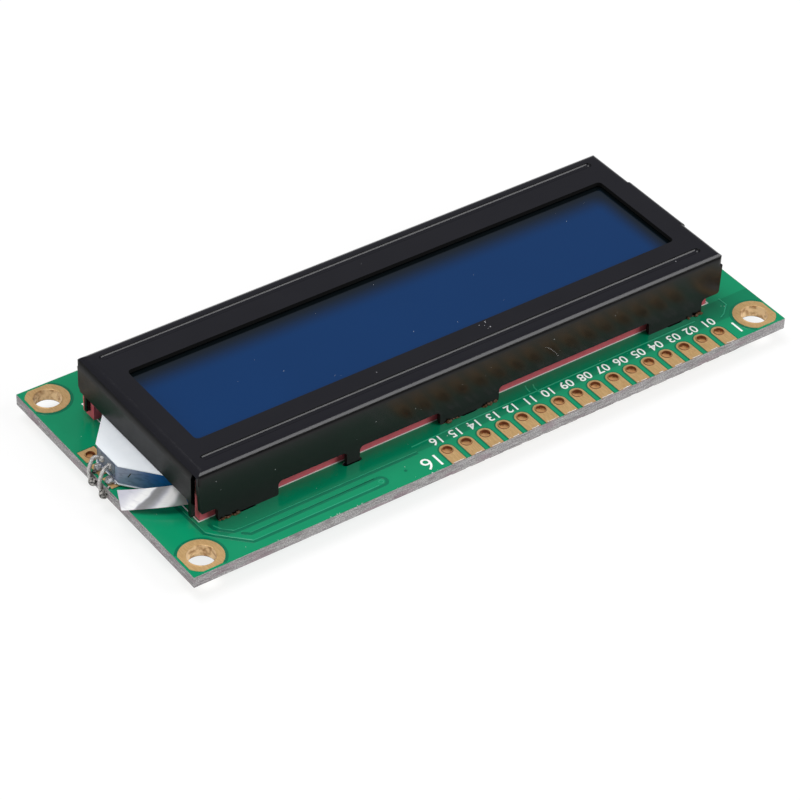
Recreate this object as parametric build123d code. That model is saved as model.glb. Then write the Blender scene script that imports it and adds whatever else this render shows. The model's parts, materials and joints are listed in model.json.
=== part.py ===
from build123d import *
import math
import os

# Character display module: a printed board, a display cell with its elastomer
# strips and edge-lit backlight, and the stamped steel bezel that clamps them.
# Millimetres. X runs along the lines of text, Y towards the header row, Z out
# of the screen. The origin is the centre of the four mounting holes on the
# rear face of the board.

# Board
board_length = 80.0
board_width = 36.0
board_thickness = 1.4

# Mounting holes
hole_inset = 2.5
hole_diameter = 3.2
hole_pad_diameter = 5.0
pad_edge_margin = 0.3
copper = 0.05

# Header row
pin_count = 16
pin_pitch = 2.54
pin_one_inset = 7.95
pin_row_inset = 2.25
pin_hole_diameter = 1.15
pin_pad_width = 1.8

# Backlight pads beside the tongue
lamp_pad_count = 3
lamp_pad_pitch = 2.54
lamp_pad_length = 2.1
lamp_pad_width = 2.0
lamp_pad_inset = 1.4
lamp_row_offset = -2.18
lamp_hole_diameter = 1.0

# Bezel
sheet = 0.5
bezel_length = 71.0
bezel_width = 24.2
bezel_height = 7.4
stack_shift_x = 0.25
stack_shift_y = -0.2
bend_header_side = 0.9
bend_front_side = 1.2
bend_tongue_end = 1.35
bend_foot_end = 0.95
bend_margin = 0.25
least_bend = 0.15
bezel_corner_radius = 0.7
window_end_border = 3.25
window_side_border = 5.2
window_shift = 0.18
window_radius = 0.55
rib_end_inset = 1.95
rib_side_inset = 2.07
rib_width = 0.9
rib_depth = 0.3
rib_shift = -0.05

# Walls of the bezel
wall_lift = 1.85
short_wall_lift = 2.95
short_wall_gap = 0.05
tongue_wall_cut = 0.5
tongue_corner_gap = 0.28
tongue_corner_taper = 0.25
foot_corner_gap = 0.1
foot_corner_taper = 0.12
corner_slit_depth = 0.6
wall_corner_radius = 0.9
long_wall_end_radius = 0.4
notch_radius = 0.5
foot_inset = 6.5
end_foot_length = 7.65
middle_foot_length = 8.0
leg_inset = 20.0
leg_width = 1.7
side_leg_lift = 0.9
side_leg_radius = 0.2
near_side_leg_width = 0.55
far_side_leg_width = 0.45
far_side_leg_inset = 1.4
proud_step = 0.2
proud_length = 9.7

# Twisted tabs
tab_width = 1.6
tab_reach = 1.6
tab_twist = 38.0
tab_steps = 4
slot_clearance = 0.1
twist_start = 0.1
twist_height = 0.7

# Display cell
glass_thickness = 1.1
cell_end_gap = 0.4
front_glass_side_gap = 0.3
contact_ledge = 2.8
cell_gap = 0.1
seal_width = 1.0
seal_margin = 0.6
polarizer_thickness = 0.2
front_polarizer_end_lap = 1.75
front_polarizer_side_lap = 1.9
rear_polarizer_inset = 0.5
plug_length = 5.0
plug_bulge = 0.4

# Elastomer strips
strip_end_gap = 0.6
strip_width = 2.2
strip_edge_gap = 0.6
front_strip_slip_x = 0.55
front_strip_slip_y = -0.53

# Backlight
tape_thickness = 0.28
reflector_thickness = 0.12
diffuser_thickness = 0.15
film_thickness = 0.12
guide_side_gap = 0.2
guide_end_gap = 0.8
tongue_thickness = 2.38
tongue_length = 4.35
tongue_offset = -0.82
tongue_root_width = 14.9
tongue_tip_width = 4.3
film_overhang = 0.08
tape_end_inset = 4.2
tape_side_inset = 2.3

# Lamp in the tip of the tongue
lamp_length = 3.4
lamp_depth = 1.1
lamp_height = 1.5
lamp_offset = -1.1
lamp_clearance = 0.1
terminal_pitch = 1.5
terminal_size = 0.8

# Bare wire leads: every row is how far a point lies outside the tip of the
# tongue, beside its terminal and above the middle of the lamp
lead_diameter = 0.45
lead_one_bends = [
    (0.35, -0.3, 0.1), (0.8, -0.45, 0.2), (1.35, -0.3, -0.4), (1.5, -0.35, -1.5), (1.48, -0.15, -2.1),
    (1.48, 0.2, -2.35),
]
lead_two_bends = [
    (0.35, 0.05, 0.1), (0.85, 0.2, 0.05), (1.38, 0.35, -0.7), (1.5, 0.3, -1.7), (1.48, 0.45, -2.3),
    (1.48, 0.85, -2.65),
]
lead_joint_radius = 0.55
lead_joint_reach = 0.15

# Silver foil that has sprung away from the side of the tongue
foil_thickness = 0.08
foil_root_out = 0.33
foil_root_aside = 0.57
foil_tip_out = 1.2
foil_tip_aside = 1.77
foil_root_low = 0.9
foil_root_high = 2.55
foil_tip_low = 0.12
foil_tip_high = 1.25
foil_root_lean = 1.6
foil_tip_lean = 1.9
foil_bow = 0.7

# Rear of the board
dome_diameter = 14.0
dome_height = 1.35
dome_rim = 0.25
dome_inset = 23.0
chip_length = 2.0
chip_width = 1.25
chip_height = 0.5
chip_cap = 0.35
chip_cap_wall = 0.04
chip_pitch = 4.2
resistor_count = 5
capacitor_count = 2
capacitor_height = 0.9
chip_row_inset = 2.9

# Heights in a flat pattern closer than this count as one
same_height = 0.001

# Worked out from the sizes above
board_top = board_thickness
bezel_top = board_top + bezel_height
widest_bend = max(bend_header_side, bend_front_side, bend_tongue_end, bend_foot_end)
seam_z = bezel_top - widest_bend - bend_margin
sheet_under = bezel_top - sheet
window_length = bezel_length - 2 * window_end_border
window_width = bezel_width - 2 * window_side_border
rib_length = bezel_length - 2 * rib_end_inset
rib_offset = bezel_width / 2 - rib_side_inset
rib_radius = (rib_width ** 2 / 4 + rib_depth ** 2) / (2 * rib_depth)
rib_under = sheet_under - rib_depth
front_glass_low = rib_under - glass_thickness
rear_glass_top = front_glass_low - cell_gap
rear_glass_low = rear_glass_top - glass_thickness
rear_polarizer_low = rear_glass_low - polarizer_thickness
cell_length = bezel_length - 2 * (sheet + cell_end_gap)
front_glass_width = bezel_width - 2 * (sheet + front_glass_side_gap)
rear_glass_width = front_glass_width - 2 * contact_ledge
strip_length = bezel_length - 2 * (sheet + strip_end_gap)
strip_y = bezel_width / 2 - sheet - strip_edge_gap - strip_width / 2
strip_inner = strip_y - strip_width / 2
reflector_low = board_top + tape_thickness
guide_low = reflector_low + reflector_thickness
guide_top = rear_polarizer_low - diffuser_thickness
guide_width = 2 * (strip_inner - guide_side_gap)
guide_length = bezel_length - 2 * (sheet + guide_end_gap)
tongue_top = guide_low + tongue_thickness
tongue_root_x = stack_shift_x + guide_length / 2
tongue_tip_x = tongue_root_x + tongue_length
foil_root_x = tongue_root_x + foil_root_out
foil_root_y = tongue_offset + tongue_root_width / 2 + foil_root_aside
foil_tip_x = tongue_tip_x + foil_tip_out
foil_tip_y = tongue_offset + tongue_tip_width / 2 + foil_tip_aside
lamp_z = guide_low + tongue_thickness / 2
long_wall_y = bezel_width / 2 - sheet / 2
short_wall_x = bezel_length / 2 - sheet / 2
short_wall_half = bezel_width / 2 - sheet - short_wall_gap
foot_centre = bezel_length / 2 - foot_inset
leg_centre = bezel_length / 2 - leg_inset
chip_row_offset = bezel_width / 2 - chip_row_inset


def block(length, width, z_low, z_high, x=0.0, y=0.0):
    """Upright block between two heights, centred on x and y."""
    height = z_high - z_low
    return Pos(x, y, z_low + height / 2) * Box(length, width, height)


def plate(sketch, z_low, z_high):
    """Flat sketch given a thickness between two heights."""
    return Pos(0, 0, z_low) * extrude(sketch, amount=z_high - z_low)


def stacked(shape):
    """Shape moved from the middle of the bezel to its place on the board."""
    return Pos(stack_shift_x, stack_shift_y, 0) * shape


def hole_centres():
    """The four mounting holes."""
    half_x = board_length / 2 - hole_inset
    half_y = board_width / 2 - hole_inset
    return [(-half_x, half_y), (-half_x, -half_y), (half_x, -half_y), (half_x, half_y)]


def pin_centres():
    """Header holes, from pin 1 at the left."""
    first = -board_length / 2 + pin_one_inset
    row = board_width / 2 - pin_row_inset
    return [(first + index * pin_pitch, row) for index in range(pin_count)]


def lamp_pad_centres():
    """Plated holes beside the tongue, along the right edge of the board."""
    column = board_length / 2 - lamp_pad_inset
    middle = (lamp_pad_count - 1) / 2
    return [
        (column, lamp_row_offset + (index - middle) * lamp_pad_pitch)
        for index in range(lamp_pad_count)
    ]


def tab_places():
    """Centre, width and turn of every tab, from the middle of the bezel."""
    places = []
    for side in (-1, 1):
        for x in (-foot_centre, 0.0, foot_centre):
            places.append((x, side * long_wall_y, tab_width, 0.0))
        places.append((leg_centre, side * long_wall_y, leg_width, 0.0))
    places.append((-short_wall_x - proud_step, 0.0, tab_width, 90.0))
    return places


def drilled(board, centres, diameter):
    """Board with a round hole for the copper barrel at each centre."""
    for x, y in centres:
        board -= Pos(x, y, board_top / 2) * Cylinder(diameter / 2 + copper, 2 * board_top)
    return board


def tab_slot(width):
    """Slot with round ends for one tab."""
    opening = 2 * slot_clearance
    return extrude(SlotOverall(width + opening + sheet, sheet + opening), amount=3 * board_top)


def make_board():
    """Bare board with every hole and slot."""
    board = block(board_length, board_width, 0.0, board_top)
    board = drilled(board, hole_centres(), hole_diameter)
    board = drilled(board, pin_centres(), pin_hole_diameter)
    board = drilled(board, lamp_pad_centres(), lamp_hole_diameter)
    for x, y, width, turn in tab_places():
        board -= stacked(Pos(x, y, -board_top) * Rot(0, 0, turn) * tab_slot(width))
    return board


def plated_hole(x, y, diameter, outline):
    """Copper on both faces of the board, joined by the barrel in the hole."""
    face = outline - Pos(x, y) * Circle(diameter / 2)
    barrel = Pos(x, y) * (Circle(diameter / 2 + copper) - Circle(diameter / 2))
    metal = plate(face, board_top, board_top + copper)
    metal += plate(face, -copper, 0.0)
    metal += plate(barrel, 0.0, board_top)
    return metal


def make_mounting_pads():
    """Round pads at the mounting holes, cut back from the board's edges."""
    field = Rectangle(board_length - 2 * pad_edge_margin, board_width - 2 * pad_edge_margin)
    pads = []
    for x, y in hole_centres():
        outline = (Pos(x, y) * Circle(hole_pad_diameter / 2)) & field
        pads.append(plated_hole(x, y, hole_diameter, outline))
    return pads


def make_header_pads():
    """Pads with a round inner end that run out to the edge of the board."""
    pads = []
    for x, y in pin_centres():
        run = board_width / 2 - y
        outline = Pos(x, y) * Circle(pin_pad_width / 2)
        outline += Pos(x, y + run / 2) * Rectangle(pin_pad_width, run)
        pads.append(plated_hole(x, y, pin_hole_diameter, outline))
    return pads


def make_lamp_pads():
    """Square pads beside the tongue."""
    pads = []
    for x, y in lamp_pad_centres():
        outline = Pos(x, y) * Rectangle(lamp_pad_length, lamp_pad_width)
        pads.append(plated_hole(x, y, lamp_hole_diameter, outline))
    return pads


def bend_inside(radius, inset):
    """Radius of a bend on a surface that lies inside the outer one."""
    return max(radius - inset, least_bend)


def arched(width, z_high, left_radius, right_radius):
    """Upright outline from the seam up, with both upper corners rounded."""
    height = z_high - seam_z
    outline = Pos(0, seam_z + height / 2) * Rectangle(width, height)
    for end, radius in ((0, left_radius), (-1, right_radius)):
        corners = outline.vertices().filter_by(lambda vertex: on_line(vertex, z_high))
        outline = fillet(corners.sort_by(Axis.X)[end], radius)
    return outline


def crowned_block(inset):
    """Block above the seam whose bent top edges meet in a mitre at the corners."""
    length = bezel_length - 2 * inset
    width = bezel_width - 2 * inset
    top = bezel_top - inset
    across = arched(width, top, bend_inside(bend_front_side, inset), bend_inside(bend_header_side, inset))
    along = arched(length, top, bend_inside(bend_foot_end, inset), bend_inside(bend_tongue_end, inset))
    corner = bend_inside(bezel_corner_radius, inset)
    body = extrude(Plane.YZ * across, length, both=True)
    body &= extrude(Plane.XZ * along, width, both=True)
    return body & plate(RectangleRounded(length, width, corner), seam_z, bezel_top + sheet)


def crown():
    """Top sheet of the bezel with its bends, down to where the flat walls start."""
    shell = crowned_block(0.0) - crowned_block(sheet)
    for side in (-1, 1):
        shell -= corner_slit(1, tongue_corner_gap, side, tongue_wall_cut if side > 0 else 0.0)
        shell -= corner_slit(-1, foot_corner_gap, side, 0.0)
    reach = 2 * bend_foot_end
    middle = block(2 * reach, proud_length, seam_z - sheet, bezel_top + sheet, x=-bezel_length / 2)
    return (shell - middle) + Pos(-proud_step, 0, 0) * (shell & middle) + proud_infill(reach)


def corner_slit(end, gap, side, cut):
    """Space between the ends of two walls, run up through their bends."""
    low = seam_z - sheet
    high = bezel_top - corner_slit_depth
    wall_end = short_wall_half - cut
    inner_face = bezel_width / 2 - sheet
    x = end * (bezel_length - gap) / 2
    y = side * (wall_end + bezel_width / 2) / 2
    slit = block(gap, bezel_width / 2 - wall_end, low, high, x=x, y=y)
    x = end * (bezel_length - gap - sheet) / 2
    y = side * (wall_end + inner_face) / 2
    return slit + block(gap + sheet, inner_face - wall_end, low, high, x=x, y=y)


def proud_infill(reach):
    """Flat strip that fills the sheet behind the proud part of the bend."""
    centre = -bezel_length / 2 + reach - proud_step / 2
    return block(proud_step, proud_length, sheet_under, bezel_top, x=centre)


def rib_rod(radius):
    """Round-ended rod along a pressed rib, to the given radius."""
    half = (rib_length - rib_width) / 2
    profile = make_face([
        Line((-half - radius, 0), (half + radius, 0)),
        CenterArc((half, 0), radius, 0, 90),
        Line((half, radius), (-half, radius)),
        CenterArc((-half, 0), radius, 90, 90),
    ])
    rod = revolve(profile, Axis.X)
    return Pos(0, 0, bezel_top - rib_depth + rib_radius) * rod


def on_line(vertex, height):
    """Whether a vertex of a flat pattern lies at the given height."""
    return abs(vertex.Y - height) < same_height


def long_wall_outline():
    """Flat pattern of a long wall: feet, one narrow leg and raised stretches."""
    low = board_top + wall_lift
    foot_top = foot_corner_gap - bezel_length / 2
    foot_low = foot_top + foot_corner_taper
    tongue_top_x = bezel_length / 2 - tongue_corner_gap
    tongue_low = tongue_top_x - tongue_corner_taper
    corners = [(foot_top, seam_z), (tongue_top_x, seam_z), (tongue_low, low), (foot_low, low)]
    wall = make_face(Polyline(*corners, close=True))
    wall = fillet([v for v in wall.vertices() if on_line(v, low)], long_wall_end_radius)
    root = low + sheet
    feet = [(x, end_foot_length) for x in (-foot_centre, foot_centre)]
    feet += [(0.0, middle_foot_length), (leg_centre, leg_width)]
    for x, width in feet:
        wall += Pos(x, (board_top + root) / 2) * Rectangle(width, root - board_top)
    inner = bezel_length / 2 - 2 * long_wall_end_radius - tongue_corner_gap - tongue_corner_taper
    notches = [v for v in wall.vertices() if on_line(v, low) and abs(v.X) < inner]
    wall = fillet(notches, notch_radius)
    toes = [v for v in wall.vertices() if on_line(v, board_top)]
    return fillet(toes, notch_radius / 2)


def plain_short_wall():
    """Flat pattern shared by both short walls."""
    low = board_top + short_wall_lift
    wall = Pos(0, (low + seam_z) / 2) * Rectangle(2 * short_wall_half, seam_z - low)
    return fillet(wall.vertices().sort_by(Axis.Y)[:1], wall_corner_radius)


def tongue_wall_outline():
    """Flat pattern of the short wall over the tongue, with two short legs."""
    low = board_top + short_wall_lift
    toe = board_top + side_leg_lift
    root = low + wall_corner_radius
    end = short_wall_half - tongue_wall_cut
    wall = plain_short_wall()
    wall -= Pos(short_wall_half, (low + seam_z) / 2) * Rectangle(2 * tongue_wall_cut, 2 * seam_z)
    near = end - near_side_leg_width / 2
    far = -short_wall_half + far_side_leg_inset
    for y, width in ((near, near_side_leg_width), (far, far_side_leg_width)):
        wall += Pos(y, (toe + root) / 2) * Rectangle(width, root - toe)
    toes = [v for v in wall.vertices() if on_line(v, toe)]
    return fillet(toes, side_leg_radius)


def foot_wall_outline():
    """Flat pattern of the other short wall, whose middle reaches the board."""
    wall = plain_short_wall()
    return wall + Pos(0, (board_top + seam_z) / 2) * Rectangle(proud_length, seam_z - board_top)


def long_wall(side):
    """Long wall on the given side of the bezel."""
    wall = extrude(Plane.XZ * long_wall_outline(), sheet / 2, both=True)
    return Pos(0, side * long_wall_y, 0) * wall


def tongue_side_wall():
    """Short wall over the tongue."""
    wall = extrude(Plane.YZ * tongue_wall_outline(), sheet / 2, both=True)
    return Pos(short_wall_x, 0, 0) * wall


def foot_side_wall():
    """Opposite short wall: its middle stands proud of the rest."""
    wall = extrude(Plane.YZ * foot_wall_outline(), sheet / 2, both=True)
    middle = block(2 * sheet, proud_length, board_top, seam_z)
    return Pos(-short_wall_x, 0, 0) * ((wall - middle) + Pos(-proud_step, 0, 0) * (wall & middle))


def tab(width):
    """Tab that passes through the board and is twisted behind it."""
    straight = block(width, sheet, -twist_start, board_top + copper)
    step = twist_height / tab_steps
    sections = []
    for index in range(tab_steps + 1):
        turn = Rot(0, 0, tab_twist * index / tab_steps)
        sections.append(Pos(0, 0, -twist_start - index * step) * turn * Rectangle(width, sheet))
    twisted = loft(sections, ruled=True)
    tip = Rot(0, 0, tab_twist) * block(width, sheet, -tab_reach, -twist_start - twist_height)
    return straight + twisted + tip


def make_bezel():
    """One stamped sheet: crown, four walls, two pressed ribs and the tabs."""
    bezel = crown()
    window = Pos(0, window_shift) * RectangleRounded(window_length, window_width, window_radius)
    bezel -= plate(window, seam_z, bezel_top + sheet)
    below = block(bezel_length, bezel_width, seam_z, sheet_under)
    for side in (-1, 1):
        place = Pos(0, side * rib_offset + rib_shift, 0)
        bezel += (place * rib_rod(rib_radius + sheet)) & below
        bezel -= place * rib_rod(rib_radius)
        bezel += long_wall(side)
    bezel += tongue_side_wall()
    bezel += foot_side_wall()
    for x, y, width, turn in tab_places():
        bezel += Pos(x, y, 0) * Rot(0, 0, turn) * tab(width)
    return stacked(bezel)


def make_front_glass():
    """Front sheet of the cell; its long edges carry the contacts."""
    return stacked(block(cell_length, front_glass_width, front_glass_low, rib_under))


def make_rear_glass():
    """Rear sheet of the cell, narrower than the front one."""
    return stacked(block(cell_length, rear_glass_width, rear_glass_low, rear_glass_top))


def make_cell_seal():
    """Frame of adhesive between the two sheets of glass."""
    length = cell_length - 2 * seal_margin
    width = rear_glass_width - 2 * seal_margin
    frame = Rectangle(length, width) - Rectangle(length - 2 * seal_width, width - 2 * seal_width)
    return stacked(plate(frame, rear_glass_top, front_glass_low))


def make_front_polarizer():
    """Film on the front glass, under the window."""
    top = rib_under + polarizer_thickness
    length = window_length + 2 * front_polarizer_end_lap
    width = window_width + 2 * front_polarizer_side_lap
    return stacked(block(length, width, rib_under, top))


def make_rear_polarizer():
    """Film on the rear glass, over the backlight."""
    length = cell_length - 2 * rear_polarizer_inset
    width = rear_glass_width - 2 * rear_polarizer_inset
    return stacked(block(length, width, rear_polarizer_low, rear_glass_low))


def make_fill_plug():
    """Flattened bead of resin over the fill port on the edge of the cell."""
    half_height = (rib_under - rear_glass_low) / 2
    bead = make_face([
        Line((0, -half_height), (0, half_height)),
        ThreePointArc((0, half_height), (-plug_bulge, 0), (0, -half_height)),
    ])
    solid = extrude(Plane.XZ * bead, plug_length / 2, both=True)
    return stacked(Pos(-cell_length / 2, 0, rear_glass_low + half_height) * solid)


def make_strip(side, slip_x=0.0, slip_y=0.0):
    """Elastomer strip that joins the board to the contacts of the glass."""
    y = side * strip_y + slip_y
    return stacked(block(strip_length, strip_width, board_top, front_glass_low, x=slip_x, y=y))


def tongue_outline(grow):
    """Tapered outline of the tongue, from its root to its tip."""
    half_root = tongue_root_width / 2 + grow
    half_tip = tongue_tip_width / 2 + grow
    tip_x = tongue_tip_x + grow
    return Pos(0, tongue_offset) * make_face(Polyline(
        (tongue_root_x, -half_root), (tip_x, -half_tip), (tip_x, half_tip), (tongue_root_x, half_root),
        close=True,
    ))


def slab_outline():
    """Rectangular outline of the light guide behind the cell."""
    return Pos(stack_shift_x, stack_shift_y) * Rectangle(guide_length, guide_width)


def lamp_block(grow):
    """Block for the lamp, flush with the tip of the tongue."""
    depth = lamp_depth + grow
    low = lamp_z - lamp_height / 2 - grow
    high = lamp_z + lamp_height / 2 + grow
    return block(depth, lamp_length + 2 * grow, low, high, x=tongue_tip_x - depth / 2, y=lamp_offset)


def make_light_guide():
    """Clear moulding: a slab behind the cell and the thinner tongue beside it."""
    guide = plate(slab_outline(), guide_low, guide_top)
    guide += plate(tongue_outline(0.0), guide_low, tongue_top)
    return guide - lamp_block(lamp_clearance)


def make_diffuser():
    """Frosted sheet on top of the slab of the light guide."""
    return plate(slab_outline(), guide_top, rear_polarizer_low)


def make_tongue_film():
    """White film on the upper face of the tongue."""
    film = plate(tongue_outline(film_overhang), tongue_top, tongue_top + film_thickness)
    return film - plate(slab_outline(), guide_low, guide_top)


def make_bottom_reflector():
    """White film under the whole light guide, tongue included."""
    return plate(slab_outline() + tongue_outline(film_overhang), reflector_low, guide_low)


def make_tape():
    """Double-sided tape that fixes the backlight to the board."""
    length = guide_length - 2 * tape_end_inset
    width = guide_width - 2 * tape_side_inset
    return stacked(block(length, width, board_top, reflector_low))


def foil_edge(lean, low_root, low_tip):
    """Bowed long edge of the foil, from its root to its tip."""
    root = Vector(foil_root_x, foil_root_y + lean * foil_root_lean, board_top + low_root)
    tip = Vector(foil_tip_x + lean * foil_bow, foil_tip_y + lean * foil_tip_lean, board_top + low_tip)
    middle = (root + tip) / 2 + Vector(foil_bow / 3, foil_bow / 2, foil_bow / 3)
    return Edge.make_three_point_arc(root, middle, tip)


def make_foil():
    """Thin bowed strip of silver foil that leans outwards beside the tongue."""
    upper = foil_edge(0.0, foil_root_high, foil_tip_high)
    lower = foil_edge(1.0, foil_root_low, foil_tip_low)
    return Solid.thicken(Face.make_surface_from_curves(upper, lower), foil_thickness)


def make_lamp():
    """Light emitting diode package let into the tip of the tongue."""
    return lamp_block(0.0)


def terminal_y(side):
    """Centre line of one terminal of the lamp."""
    return lamp_offset + side * terminal_pitch / 2


def make_terminals():
    """Solder lumps on the two terminals of the lamp."""
    lumps = []
    for side in (-1, 1):
        centre = Pos(tongue_tip_x, terminal_y(side), lamp_z)
        ball = centre * Sphere(terminal_size / 2)
        outside = block(terminal_size, terminal_size, guide_low, tongue_top, tongue_tip_x + terminal_size / 2)
        lumps.append(ball & Pos(0, terminal_y(side), 0) * outside)
    return lumps


def wire(points):
    """Round wire along a smooth route through the given points."""
    path = Spline(*points)
    return sweep(Plane(path @ 0, z_dir=path % 0) * Circle(lead_diameter / 2), path=path)


def lead_route(side, bends):
    """Points of a lead that loops from its terminal down past the board."""
    return [(tongue_tip_x + out, terminal_y(side) + along, lamp_z + up) for out, along, up in bends]


def make_lead(side, bends):
    """Formed wire of one lamp terminal, clear of its solder."""
    lead = wire(lead_route(side, bends))
    for lump in make_terminals():
        lead -= lump
    return lead


def make_lead_joints():
    """Solder lumps that hold the lower ends of both leads to the board."""
    board = block(board_length, board_width, -board_top, board_top + lead_joint_radius)
    joints = []
    for side, bends in ((-1, lead_one_bends), (1, lead_two_bends)):
        route = lead_route(side, bends)
        x, y, z = route[-1]
        lump = Pos(board_length / 2 + lead_joint_reach, y, z) * Sphere(lead_joint_radius)
        joints.append(lump - board - wire(route))
    return joints


def make_dome(side):
    """Black resin dome over one bare chip on the rear of the board."""
    radius = dome_diameter / 2
    rise = dome_height - dome_rim
    sphere_radius = (radius ** 2 + rise ** 2) / (2 * rise)
    half_angle = math.asin(radius / sphere_radius) / 2
    shoulder = (
        sphere_radius * math.sin(half_angle),
        dome_height - sphere_radius * (1 - math.cos(half_angle)),
    )
    profile = make_face([
        Line((0, 0), (radius, 0)),
        Line((radius, 0), (radius, dome_rim)),
        ThreePointArc((radius, dome_rim), shoulder, (0, dome_height)),
        Line((0, dome_height), (0, 0)),
    ])
    dome = revolve(Plane.XZ * profile, Axis.Z)
    return Pos(side * (board_length / 2 - dome_inset), 0, 0) * Rot(180, 0, 0) * dome


def chip_places():
    """Centre and height of every chip part, in one row behind the header."""
    count = resistor_count + capacitor_count
    places = []
    for index in range(count):
        x = (index - (count - 1) / 2) * chip_pitch
        places.append((x, chip_row_offset, chip_height if index < resistor_count else capacitor_height))
    return places


def chip_body(x, y, height):
    """Ceramic body of a chip part, held off the board by its end caps."""
    length = chip_length - 2 * chip_cap_wall
    return block(length, chip_width, -chip_cap_wall - height, -chip_cap_wall, x=x, y=y)


def chip_caps(x, y, height):
    """Metal caps that wrap both ends of a chip part."""
    low = -2 * chip_cap_wall - height
    caps = []
    for side in (-1, 1):
        centre = x + side * (chip_length - chip_cap) / 2
        cap = block(chip_cap, chip_width + 2 * chip_cap_wall, low, 0.0, x=centre, y=y)
        caps.append(cap - chip_body(x, y, height))
    return caps


def make_chips(start, stop):
    """Bodies of the chip parts of one kind."""
    return [chip_body(*place) for place in chip_places()[start:stop]]


def make_chip_caps():
    """End caps of every chip part."""
    caps = []
    for place in chip_places():
        caps.extend(chip_caps(*place))
    return caps


def build():
    """Every node of the model, by name."""
    return {
        "pcb": make_board(),
        "mounting_pads": make_mounting_pads(),
        "header_pads": make_header_pads(),
        "backlight_pads": make_lamp_pads(),
        "bezel": make_bezel(),
        "front_glass": make_front_glass(),
        "rear_glass": make_rear_glass(),
        "cell_seal": make_cell_seal(),
        "fill_port_plug": make_fill_plug(),
        "front_polarizer": make_front_polarizer(),
        "rear_polarizer": make_rear_polarizer(),
        "elastomer_strip_front": make_strip(-1, front_strip_slip_x, front_strip_slip_y),
        "elastomer_strip_header": make_strip(1),
        "light_guide": make_light_guide(),
        "diffuser_sheet": make_diffuser(),
        "tongue_film": make_tongue_film(),
        "bottom_reflector": make_bottom_reflector(),
        "backlight_tape": make_tape(),
        "side_foil": make_foil(),
        "backlight_led": make_lamp(),
        "led_terminals": make_terminals(),
        "led_lead_1": make_lead(-1, lead_one_bends),
        "led_lead_2": make_lead(1, lead_two_bends),
        "lead_joints": make_lead_joints(),
        "controller_dome": make_dome(-1),
        "driver_dome": make_dome(1),
        "chip_resistors": make_chips(0, resistor_count),
        "chip_capacitors": make_chips(resistor_count, resistor_count + capacitor_count),
        "chip_end_caps": make_chip_caps(),
    }


def write_parts(nodes):
    """One STEP file for each node."""
    os.makedirs("parts", exist_ok=True)
    for name, shape in nodes.items():
        solid = Compound(children=list(shape)) if isinstance(shape, list) else shape
        export_step(solid, f"parts/{name}.step")


write_parts(build())
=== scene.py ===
import json
import math
import random

import bmesh
import bpy
from mathutils import Matrix, Vector, noise


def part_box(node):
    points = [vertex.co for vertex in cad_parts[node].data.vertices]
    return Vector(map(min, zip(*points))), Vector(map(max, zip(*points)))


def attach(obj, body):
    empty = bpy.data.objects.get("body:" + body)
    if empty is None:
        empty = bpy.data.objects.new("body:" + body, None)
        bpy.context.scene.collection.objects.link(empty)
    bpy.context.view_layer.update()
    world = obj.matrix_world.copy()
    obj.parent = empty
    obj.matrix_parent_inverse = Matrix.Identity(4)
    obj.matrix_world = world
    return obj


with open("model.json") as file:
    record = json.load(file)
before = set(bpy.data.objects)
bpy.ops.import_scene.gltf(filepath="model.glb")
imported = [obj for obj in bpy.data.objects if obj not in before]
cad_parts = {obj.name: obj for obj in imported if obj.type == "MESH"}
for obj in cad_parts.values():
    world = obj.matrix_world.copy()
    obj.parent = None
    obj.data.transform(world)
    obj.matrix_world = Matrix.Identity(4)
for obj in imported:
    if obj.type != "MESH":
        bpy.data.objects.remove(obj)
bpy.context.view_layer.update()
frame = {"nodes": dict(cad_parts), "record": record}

# Dresses the module with materials, print, relief, solder and dust, for the photo's camera and light
MM = 0.001
nodes = frame["nodes"]
scene = bpy.context.scene

# Places read from the frame, in metres
board_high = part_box("pcb")[1]
bezel_low, bezel_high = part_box("bezel")
display_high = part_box("front_polarizer")[1]
board_top = board_high.z

# Camera, fitted to the photo
lens = 151.445
sensor = 36.0
camera_azimuth = math.radians(53.168)
camera_elevation = math.radians(38.916)
camera_roll = math.radians(2.212)
camera_distance = 376.51 * MM
camera_aside = -0.917 * MM
camera_above = -4.949 * MM

# Levels and edges, in millimetres
top = board_top / MM
rear = 0.0
board_edge_y = board_high.y / MM
bezel_top = bezel_high.z / MM
header_wall_y = 11.91
ink_height = 0.02
relief_height = 0.012
plating_top = top + 0.05

# The board's pattern, in millimetres
pin_count = 16
pin_pitch = 2.54
first_pin_x = -32.05
pin_row_y = 15.75
pin_places = [first_pin_x + index * pin_pitch for index in range(pin_count)]
hole_x, hole_y = 37.5, 15.5
corner_sides = [(side_x, side_y) for side_x in (-1, 1) for side_y in (-1, 1)]
lamp_pad_x = 38.6
lamp_pad_rows = [-4.72 + index * pin_pitch for index in range(3)]
rear_via_radius = 0.22

# The bezel's window, in millimetres
window_middle_x, window_middle_y = 0.25, -0.02
window_half_x, window_half_y = 32.29, 6.94
window_far_y = -6.92
window_right_x = -32.0

# Axes of a vector, and how far a face looks along one before it counts as facing it
along_x, along_y, along_z = 0, 1, 2
facing_limit = 0.6

# Light and colour
white = (1.0, 1.0, 1.0)
floor_glow = 0.8
surround_strength = 0.2


# Camera

def camera_axes():
    """Right, up and back directions of the camera."""
    flat = math.cos(camera_elevation)
    back = Vector((
        math.cos(camera_azimuth) * flat, math.sin(camera_azimuth) * flat, math.sin(camera_elevation),
    ))
    level = Vector((0, 0, 1)).cross(back).normalized()
    upright = back.cross(level)
    right = math.cos(camera_roll) * level + math.sin(camera_roll) * upright
    up = math.cos(camera_roll) * upright - math.sin(camera_roll) * level
    return right, up, back


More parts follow.
